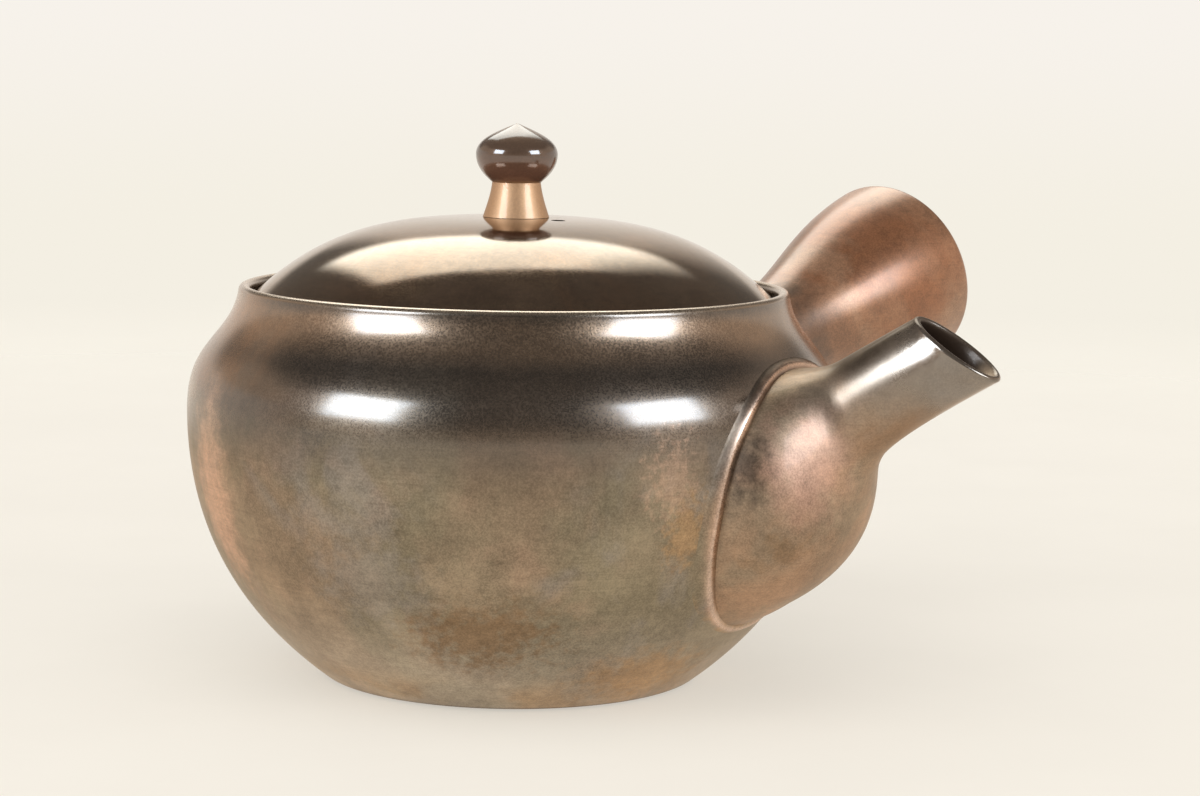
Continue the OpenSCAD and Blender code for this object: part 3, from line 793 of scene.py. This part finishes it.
# The studio: two soft boxes on the camera's side, a wide pale panel high behind the pot,
# and a cream backdrop. The room behind the camera is dim, so the glaze shows dark there.
scene = bpy.context.scene
look_az = 30.0
dim, flank, low_light = (0.19, 0.175, 0.16, 1.0), (0.78, 0.63, 0.5, 1.0), (0.9, 0.84, 0.77, 1.0)
panel_light = (3.9, 4.1, 3.95, 1.0)
front_fill, back_fill = (1.27, 1.26, 1.24, 1.0), (0.42, 0.415, 0.41, 1.0)
low_sky, high_sky = tone(244, 239, 227), tone(247, 242, 235)
world = bpy.data.worlds.new("studio")
scene.world = world
world.use_nodes = True
air = world.node_tree
ray = Wire(air, air.nodes.new("ShaderNodeTexCoord").outputs["Generated"])
turned_ray = ray.node("Mapping", {"Vector": ray, "Rotation": (0.0, 0.0, np.radians(-look_az))})
split = turned_ray.node("SeparateXYZ", {0: turned_ray}).socket.node
ray_x, ray_y, ray_z = (Wire(air, s) for s in split.outputs)
ahead = ray_y.at_least(0.01)
side, up = ray_x / ahead, ray_z / ahead
behind = ray_y.rise(-0.3, 0.3)
backdrop = ray_z.rise(0.29, 0.17) * behind
glow = up.rise(0.72, 0.55) * side.rise(-0.3, -0.12) * side.rise(0.5, 0.12) * behind
low_edge = (up - side.at_least(side * 0.1) * 0.4).rise(0.52, 0.64)
high_edge = (up + side * 0.4 + side * side * 0.75).rise(2.15, 1.85)
left_edge, right_edge = (side + up * 0.4).rise(-0.27, -0.15), side.rise(0.64, 0.2)
brighter_right = side.rise(-0.9, -0.1, 0.62, 1.0)
panel = low_edge * high_edge * left_edge * brighter_right * right_edge * behind
walls = (ray_x * ray_x).rise(0.25, 0.6) * ray_z.rise(0.64, 0.44)
near_floor = ray_z.rise(0.32, 0.0) * (1 - behind) * 0.35
room = backdrop.at_least(glow).mix(walls.at_least(near_floor).mix(dim, flank), low_light)
room = panel.mix(room, panel_light)
fill = ray_y.rise(-0.6, 0.6).mix(front_fill, back_fill)
sky = ray_z.rise(-0.07, 0.02).mix(low_sky, high_sky)
path = ray.node("LightPath", {}).socket.node
light = Wire(air, path.outputs["Is Diffuse Ray"]).mix(room, fill)
Wire(air, path.outputs["Is Camera Ray"]).mix(light, sky).into(air.nodes["Background"], "Color")


def facing(az, elevation):
    """Right, up and back axes of a lamp that looks at the pot from an azimuth off the camera's own and
    an elevation."""
    a, e = np.radians(az + look_az - 90), np.radians(elevation)
    back = np.array([np.cos(a) * np.cos(e), np.sin(a) * np.cos(e), np.sin(e)])
    right = np.array([-np.sin(a), np.cos(a), 0.0])
    return np.stack([right, np.cross(back, right), back], 1)


def hung(name, lamp, az, elevation, distance, diffuse):
    """Hangs a lamp at a distance from the pot's middle, to light either matt surfaces or glossy ones."""
    pot_middle = np.array([0, 0, 0.04])
    matrix = np.eye(4)
    matrix[:3, :3] = facing(az, elevation)
    matrix[:3, 3] = pot_middle + distance * matrix[:3, 2]
    holder = bpy.data.objects.new(name, lamp)
    holder.matrix_world = Matrix(matrix.tolist())
    holder.visible_camera, holder.visible_diffuse, holder.visible_glossy = False, diffuse, not diffuse
    scene.collection.objects.link(holder)


box_w, box_h, box_radiance, box_colour = 0.38, 0.34, 12.0, (0.78, 0.92, 1.07)
for name, az in (("left_box", -54.0), ("right_box", 54.0)):
    box = bpy.data.lights.new(name, "AREA")
    box.shape, box.size, box.size_y = "RECTANGLE", box_w, box_h
    box.energy, box.color = np.pi * box_w * box_h * box_radiance, box_colour
    hung(name, box, az, elevation=24.0, distance=0.8, diffuse=False)
overhead = bpy.data.lights.new("overhead", "SUN")
overhead.energy, overhead.angle = 0.7, np.radians(70)
hung("overhead", overhead, az=-30.0, elevation=62.0, distance=1.0, diffuse=True)

# The camera: a long lens a little above the rim, held nearly level. Its place, pan, tilt
# and roll are set by the pot's own lines in the photograph.
camera_data = bpy.data.cameras.new("camera")
camera_data.lens, camera_data.sensor_width, camera_data.sensor_fit = 84.0, 36.0, "HORIZONTAL"
camera = bpy.data.objects.new("camera", camera_data)
scene.collection.objects.link(camera)
camera_at = np.array([0.23645, -0.40954, 0.1066])
pan, tilt, roll = np.radians([1.78 - look_az, 7.22, 0.98])
forward = np.array([np.cos(tilt) * np.sin(pan), np.cos(tilt) * np.cos(pan), -np.sin(tilt)])
level = unit(np.cross(forward, [0.0, 0.0, 1.0]))
upright = np.cross(level, forward)
pose = np.eye(4)
pose[:3, 0] = level * np.cos(roll) + upright * np.sin(roll)
pose[:3, 1] = upright * np.cos(roll) - level * np.sin(roll)
pose[:3, 2] = -forward
pose[:3, 3] = camera_at
camera.matrix_world = Matrix(pose.tolist())
scene.camera = camera
scene.view_settings.view_transform = "Standard"
